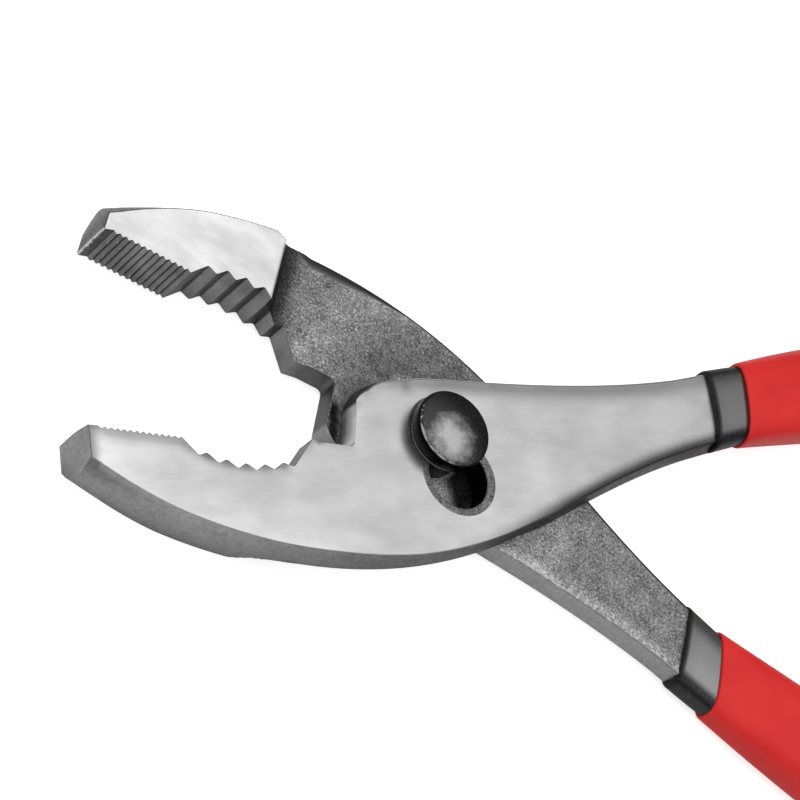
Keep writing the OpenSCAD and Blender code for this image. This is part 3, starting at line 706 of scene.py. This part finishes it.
def turned_bolt(count=144):
    """Surface of revolution of the bolt's profile, whose radius on the shank is cut by two flats."""
    dome_r = (HEAD_R**2 + DOME_H**2) / 2 / DOME_H
    arc = np.linspace(np.arcsin((HEAD_R - 0.35) / dome_r), 0, 14)
    dome = np.column_stack([dome_r * np.sin(arc), RIM_Z + DOME_H - dome_r * (1 - np.cos(arc))])
    turn = np.radians([0, 20, 40, 60, 78])
    rim = np.column_stack([HEAD_R - 0.32 * (1 - np.cos(turn)), dome[0, 1] - 0.3 + 0.3 * np.sin(turn)])
    stud = np.array([[0, 0], [STUD_R - STUD_CHAMFER, 0], [STUD_R, STUD_CHAMFER], [STUD_R, NUT_T]])
    shank = np.array([[KEY_R, NUT_T], [KEY_R, HEAD_Z]])
    under = [[HEAD_R - 0.3, HEAD_Z], [HEAD_R - 0.08, HEAD_Z + 0.08], [HEAD_R, HEAD_Z + 0.3]]
    profile = np.vstack([stud, shank, under, rim, dome])
    angle = np.linspace(0, 2 * np.pi, count, endpoint=False)
    reach = np.repeat(profile[:, :1], count, 1)
    flat = KEY_FLAT / np.maximum(np.abs(np.cos(angle - SLOT_LEAN)), 1e-6)
    keyed = slice(len(stud), len(stud) + len(shank))
    reach[keyed] = np.minimum(reach[keyed], flat)
    return spun(reach, profile[:, 1:], angle)


def black_oxide_steel():
    """Black oxide, rubbed through to grey steel in a ragged round patch a little off the crown's middle.
    Below the rim the colour is darker still: painted shade on the head's side."""
    material, tree, shader = surface("black_oxide", 1.0)
    where = add(tree, "ShaderNodeTexCoord").outputs["Object"]
    split = add(tree, "ShaderNodeSeparateXYZ", None, {0: where})
    off_x = maths(tree, "ADD", split.outputs[0], 1.0 * MM)
    off_y = maths(tree, "ADD", split.outputs[1], 1.8 * MM)
    radius = maths(tree, "SQRT", maths(tree, "ADD", maths(tree, "MULTIPLY", off_x, off_x),
                                       maths(tree, "MULTIPLY", off_y, off_y)), 0.0)
    torn = remap(tree, noise(tree, 1.6, detail=6.0, rough=0.7), 0.3, 0.7, -1.4 * MM, 1.4 * MM)
    crown = remap(tree, maths(tree, "ADD", radius, torn), 1.0 * MM, 4.6 * MM, 1.0, 0.0)
    high = remap(tree, split.outputs[2], RIM_Z * MM, (RIM_Z + 0.25) * MM)
    mask = maths(tree, "MULTIPLY", crown, high)
    fine = noise(tree, 0.35, detail=4.0, rough=0.6)
    # Near black below the rim: painted shade on the head's side; black oxide with fine mottling above.
    black = blend(tree, high, 0.006, blend(tree, fine, (0.025, 0.025, 0.026), (0.08, 0.08, 0.082)))
    weathered(tree, shader, blend(tree, mask, black, 0.43), 0.3)
    tree.links.new(remap(tree, fine, 0.3, 0.7, 0.22, 0.36), shader.inputs["Roughness"])
    relief(tree, shader, fine, 0.01, 0.5)
    return material


black_oxide = black_oxide_steel()
points, quads = turned_bolt()
radius, around = np.hypot(*points[:, :2].T), np.arctan2(points[:, 1], points[:, 0])
# The bolt's rub runs along one side of the rim only: a painted highlight, not wear.
on_rim = (np.abs(radius - HEAD_R + 0.3) < 0.09) * (points[:, 2] > RIM_Z - 0.3)
rub = 0.85 * on_rim * np.clip(-np.cos(around - 0.5), 0, 1)
pivot_bolt = put_plain("pivot_bolt_domed", points, quads, black_oxide, rub=rub)
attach(pivot_bolt, "pinned_side")
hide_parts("pivot_bolt")


# Wave washer
# A thin ring of spring steel, pressed into three waves, between the bolt head and the slotted lever.
# It takes up the play so that the levers don't rattle.
def waved_ring(inner, outer, thick, wave, count=120):
    """A flat ring whose height follows three sine waves round the axis, with rounded rims."""
    turn = np.radians(np.append(np.arange(0, 360, 30), 0))
    mid, half = (inner + outer) / 2, (outer - inner) / 2
    r = mid + (half - thick / 2) * np.sign(np.cos(turn)) + thick / 2 * np.cos(turn)
    z = thick / 2 * np.sin(turn)
    angle = np.linspace(0, 2 * np.pi, count, endpoint=False)
    lift = (FRONT_Z + HEAD_Z) / 2 + wave * np.sin(3 * angle)
    return spun(np.repeat(r[:, None], count, 1), z[:, None] + lift, angle)


# The washer's dark grey is partly the spring steel and partly painted shade under the bolt head.
spring_steel = ground_steel("spring_steel", 0.25, 0.4, turn=0.3, rough=0.3)
points, quads = waved_ring(inner=5.1, outer=5.95, thick=0.22, wave=0.09)
wave_washer = put_plain("wave_washer_spring", points, quads, spring_steel)
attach(wave_washer, "washer")
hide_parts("wave_washer")


# Pivot nut
# A blackened hexagon nut, half sunk in a round seat in the back of the pinned lever. Its lower
# corners are turned off by a chamfer, and the bolt's end is cut flush with it.
def chamfered_nut(flats, bore, tall, count=144):
    """A hexagon whose radius is held under a cone at its lower face, joined to its bore."""
    angle = np.linspace(0, 2 * np.pi, count, endpoint=False)
    hexagon = flats / 2 / np.cos((angle + np.pi / 6) % (np.pi / 3) - np.pi / 6)
    z = np.array([0, 0.12, 0.25, 0.4, 0.55, tall])
    cone_r, cone_slope = flats / 2 - 0.1, 1.73
    side = np.minimum(hexagon, (cone_r + z * cone_slope)[:, None])
    inside = np.array([[bore, tall], [bore, 0.35], [bore + 0.35, 0]])
    reach = np.vstack([side, np.repeat(inside[:, :1], count, 1), side[:1]])
    height = np.concatenate([z, inside[:, 1], z[:1]])
    return spun(reach, height[:, None], angle)


points, quads = chamfered_nut(flats=11, bore=STUD_R + 0.05, tall=NUT_T)
pivot_nut = put_plain("pivot_nut_hexagon", points, quads, black_oxide, bend=25)
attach(pivot_nut, "pinned_side")
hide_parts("pivot_nut")


# Black grip liners
# The tang of each lever is dipped or sleeved in black plastic first. It shows only as a glossy collar
# with a rounded lip in front of the red sleeve.
LINER_WALL, LINER_SQUARE, COLLAR_LEAN = 1.05, 2.8, np.radians(17)
LINER_END = TANG_LEN + TANG_END_W / 2 + LINER_WALL
SLOTTED_START, PINNED_START = -0.7, -4.3
RING_TURN = np.linspace(0, 2 * np.pi, 96, endpoint=False)


def squared_rings(s, half_w, half_h, z, square, lean):
    """Squared ellipses (sine and cosine raised to 2 over the exponent) across the handle axis, each
    leaned from square to it."""
    cos, sin = np.cos(RING_TURN), np.sin(RING_TURN)
    power = 2 / np.broadcast_to(square, np.shape(s))[:, None]
    u = half_w[:, None] * np.sign(cos) * np.abs(cos) ** power
    v = half_h[:, None] * np.sign(sin) * np.abs(sin) ** power
    at, across = handle_axis(s[:, None] + u * np.tan(lean)[:, None])
    flat = at + u[..., None] * across
    rings = np.concatenate([flat, (z[:, None] + v)[..., None]], 2)
    return rings.reshape(-1, 3), grid_quads(len(s), len(RING_TURN))


def dipped_liner(start):
    """The liner: its inside from the end of the tang to the mouth, a lip that rolls to the outside, then the
    steel's section plus one wall to a closed end. Its painted light is full on its flats and low along the
    edges and by the lip: a painted highlight on the flats and painted shade elsewhere."""
    turn = np.radians([-70, -40, -10, 15, 40, 65, 90])
    lip_r, lip_in, behind, shut, inside = 0.42, 0.8, start + 0.9, -9, -1.3
    s = np.concatenate([[TANG_LEN], np.linspace(TANG_LEN, behind, 16), start + lip_r - lip_r * np.cos(turn),
                        np.linspace(behind, LINER_END, 40), [LINER_END]])
    lip = -lip_r + np.where(turn < 0, lip_in, lip_r) * np.sin(turn)
    grow = np.concatenate([[shut], np.full(16, inside), lip, np.zeros(40), [shut]])
    half_w = np.maximum(steel_half(s) + LINER_WALL + grow, 0)
    half_h = np.maximum((steel_top(s) - PLATE_Z) / 2 + LINER_WALL + grow, 0)
    lean = COLLAR_LEAN * (LINER_END - s) / (LINER_END - start)
    points, quads = squared_rings(s, half_w, half_h, (steel_top(s) + PLATE_Z) / 2, LINER_SQUARE, lean)
    across = np.abs(np.cos(RING_TURN)) ** (2 / LINER_SQUARE)
    # Painted highlight on the flats, painted shade along the edges and next to the lip.
    tone = np.interp(s - start, [0.5, 1.0], [0.08, 1])[:, None] * np.interp(across, [0.66, 0.8], [1, 0.08])
    return points, quads, tone.ravel()


def black_plastic_skin():
    """Black plastic with a faint orange peel and dust. On its flats the coat and a greyer colour follow the
    mesh's painted light, a painted highlight and reflection, while the edges are left black as painted shade."""
    material, tree, shader = surface("black_plastic", 0.0, {"Specular IOR Level": 0.1, "Coat IOR": 2.8,
                                                            "Coat Roughness": 0.2})
    peel = noise(tree, 1.6, detail=2.0)
    dust = noise(tree, 0.5, detail=4.0)
    # The greyer colour on the flats is a painted highlight; the edges stay black as painted shade.
    grey = blend(tree, attribute(tree, "tone"), 0.01, 0.04)
    tree.links.new(blend(tree, remap(tree, dust, 0.5, 0.9), grey, 0.05), shader.inputs["Base Color"])
    tree.links.new(remap(tree, dust, 0.3, 0.7, 0.35, 0.5), shader.inputs["Roughness"])
    tree.links.new(attribute(tree, "tone"), shader.inputs["Coat Weight"])
    relief(tree, shader, peel, 0.012, 0.4)
    return material


black_plastic = black_plastic_skin()
for start, place, body, node in ((SLOTTED_START, on_front, "slotted_side", "slotted_grip_liner"),
                                 (PINNED_START, on_back, "pinned_side", "pinned_grip_liner")):
    points, quads, tone = dipped_liner(start)
    liner = put_plain(node + "_collar", place(points), quads, black_plastic, tone=tone)
    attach(liner, body)
    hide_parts(node)


# Red grip sleeves
# A red plastic sleeve is pulled over each liner. It is slim at its mouth, full in the palm, flat where
# the tool lies on it and round at its end.
GRIP_LEN, GRIP_W, COLLAR_LEN, MOUTH_STEP = 92.0, 16.2, 7.0, 0.4
END_ROUND, SLEEVE_SQUARE, MOUTH_LEAN = GRIP_W * 0.55, 2.6, np.radians(20)


def red_sleeve(start):
    """Squared ellipses: inside, just under the liner's skin from its end to the mouth; then a lip, and a
    skin that swells by a quarter sine from the mouth to the palm and closes as a quarter ellipse."""
    mouth, end = start + COLLAR_LEN, start + GRIP_LEN
    turn = np.radians([-60, -20, 10, 35, 62, 90])
    lip_r, sink = 0.3, 0.1
    lip_s, lip_grow = lip_r - lip_r * np.cos(turn), -lip_r + lip_r * np.sin(turn)
    close = np.radians(np.linspace(0, 90, 16))[1:]
    s = np.concatenate([mouth + lip_s, np.linspace(mouth + lip_r, end - END_ROUND, 60)[1:],
                        end - END_ROUND + END_ROUND * np.sin(close)])
    grow = np.append(lip_grow, np.zeros(len(s) - len(lip_s)))
    full = np.sin(np.pi / 2 * np.clip((s - mouth) / BLEND_LEN, 0, 1))
    shut = np.sqrt(np.maximum(0, 1 - (np.maximum(0, s - end + END_ROUND) / END_ROUND) ** 2))
    mouth_w = steel_half(np.array(mouth)) + LINER_WALL + MOUTH_STEP
    mouth_h = (HALF_T - PLATE_Z) / 2 + LINER_WALL + MOUTH_STEP
    half_w = shut * (mouth_w + (GRIP_W / 2 - mouth_w) * full) + grow
    half_h = shut * (mouth_h + (MID_Z - mouth_h) * full) + grow
    inside = np.append(LINER_END, np.linspace(LINER_END, mouth + 0.5, 16))
    shut_in = np.append(0, np.ones(16))
    half_w = np.append(shut_in * (steel_half(inside) + LINER_WALL - sink), half_w)
    half_h = np.append(shut_in * ((steel_top(inside) - PLATE_Z) / 2 + LINER_WALL - sink), half_h)
    z = np.append((steel_top(inside) + PLATE_Z) / 2, (HALF_T + PLATE_Z) / 2 * (1 - full))
    square = LINER_SQUARE + (SLEEVE_SQUARE - LINER_SQUARE) * np.append(np.zeros(len(inside)), full)
    lean = MOUTH_LEAN * (1 - np.append(np.linspace(1, 0, len(inside)), full))
    return squared_rings(np.concatenate([inside, s]), half_w, half_h, z, square, lean)


def red_plastic_skin():
    """Satin red plastic: soft broad unevenness from dipping and fine peel."""
    material, tree, shader = surface("red_plastic", 0.0, {"Specular IOR Level": 0.18})
    broad = noise(tree, 9, detail=2.0)
    peel = noise(tree, 0.7)
    colour = blend(tree, remap(tree, broad, 0.3, 0.7), (0.64, 0.022, 0.022), (0.74, 0.03, 0.03))
    tree.links.new(colour, shader.inputs["Base Color"])
    tree.links.new(remap(tree, peel, 0.3, 0.7, 0.36, 0.46), shader.inputs["Roughness"])
    relief(tree, shader, maths(tree, "ADD", broad, maths(tree, "MULTIPLY", peel, 0.12)), 0.12, 0.4)
    return material


red_plastic = red_plastic_skin()
for start, place, body, node in ((SLOTTED_START, on_front, "slotted_side", "slotted_grip_sleeve"),
                                 (PINNED_START, on_back, "pinned_side", "pinned_grip_sleeve")):
    points, quads = red_sleeve(start)
    sleeve = put_plain(node + "_dipped", place(points), quads, red_plastic)
    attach(sleeve, body)
    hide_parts(node)


# Floor, light and camera
# A white studio floor under a pale sky that darkens to the horizon, a large soft lamp over the jaws,
# and a long lens at the photograph's angle. Lengths here are metres.
CAMERA_GLOW, MIRROR_GLOW, FLOOR_HALF, FLOOR_Z = 0.75, 0.1, 4, -0.0001


def white_floor():
    """Diffuse white with a glow on top, so that open floor is white and the shadow stays: strong to the
    camera, faint in reflections."""
    material = bpy.data.materials.new("studio_floor")
    material.use_nodes = True
    tree = material.node_tree
    tree.nodes.clear()
    ray = add(tree, "ShaderNodeLightPath")
    mirrored = maths(tree, "MAXIMUM", ray.outputs["Is Glossy Ray"], ray.outputs["Is Transmission Ray"])
    glow_level = shares(tree, (ray.outputs["Is Camera Ray"], CAMERA_GLOW), (mirrored, MIRROR_GLOW))
    plain = add(tree, "ShaderNodeBsdfDiffuse", None, {"Color": (0.8, 0.8, 0.8, 1)})
    glow = add(tree, "ShaderNodeEmission", None, {"Color": (1, 1, 1, 1), "Strength": glow_level})
    both = add(tree, "ShaderNodeAddShader", None, {0: plain.outputs[0], 1: glow.outputs[0]})
    add(tree, "ShaderNodeOutputMaterial", None, {0: both.outputs[0]})
    return material


floor_mesh = bpy.data.meshes.new("studio_floor")
corners = [(x * FLOOR_HALF, y * FLOOR_HALF, FLOOR_Z) for x, y in ((-1, -1), (1, -1), (1, 1), (-1, 1))]
floor_mesh.from_pydata(corners, [], [(0, 1, 2, 3)])
floor_mesh.materials.append(white_floor())
floor = bpy.data.objects.new("studio_floor", floor_mesh)
bpy.context.scene.collection.objects.link(floor)

world = bpy.data.worlds.new("studio_sky")
bpy.context.scene.world = world
world.use_nodes = True
sky = world.node_tree
sky.nodes.clear()
direction = add(sky, "ShaderNodeTexCoord").outputs["Generated"]
up = add(sky, "ShaderNodeSeparateXYZ", None, {0: direction}).outputs[2]
level = add(sky, "ShaderNodeMapRange", {"interpolation_type": "SMOOTHSTEP"},
            {"Value": up, "From Min": 0.42, "From Max": 0.86, "To Min": 0.12, "To Max": 1.2}).outputs[0]
ray = add(sky, "ShaderNodeLightPath")
seen = add(sky, "ShaderNodeMix", {"data_type": "FLOAT"},
           {0: ray.outputs["Is Camera Ray"], 2: level, 3: 1.0}).outputs[0]
background = add(sky, "ShaderNodeBackground", None, {"Color": (1, 1, 1, 1), "Strength": seen})
add(sky, "ShaderNodeOutputWorld", None, {0: background.outputs[0]})

# The lamp shines back along its own Z to a point by the pivot. It stays out of reflections, so that the
# ground steel isn't burnt out from above.
lamp_at, lamp_aim = np.array([-0.35, 0.1, 0.8]), np.array([0.02, 0.0, 0.0])
lamp_data = bpy.data.lights.new("key_over_jaws", "AREA")
lamp_data.size, lamp_data.energy = 0.6, 2.5
lamp = bpy.data.objects.new("key_over_jaws", lamp_data)
bpy.context.scene.collection.objects.link(lamp)
back = (lamp_at - lamp_aim) / np.linalg.norm(lamp_at - lamp_aim)
side = np.cross([0, 0, 1], back)
side = side / np.linalg.norm(side)
turn = np.eye(4)
turn[:3] = np.column_stack([side, np.cross(back, side), back, lamp_at])
lamp.matrix_world = Matrix(turn.tolist())
lamp.visible_glossy = False

CAMERA_AIM, CAMERA_FAR = np.array([-1.005, 9.39, 1.45]) * MM, 0.45
camera_data = bpy.data.cameras.new("camera")
camera_data.lens, camera_data.clip_start = 135.0, 0.01
camera = bpy.data.objects.new("camera", camera_data)
bpy.context.scene.collection.objects.link(camera)
view = np.eye(4)
view[:3, 0] = [0.83987927, -0.12065962, 0.5291919]
view[:3, 1] = [-0.12065962, 0.90907645, 0.3987747]
view[:3, 2] = [-0.5291919, -0.3987747, 0.74895572]
view[:3, 3] = CAMERA_AIM + CAMERA_FAR * view[:3, 2]
camera.matrix_world = Matrix(view.tolist())
bpy.context.scene.camera = camera
bpy.context.scene.view_settings.view_transform = "Standard"
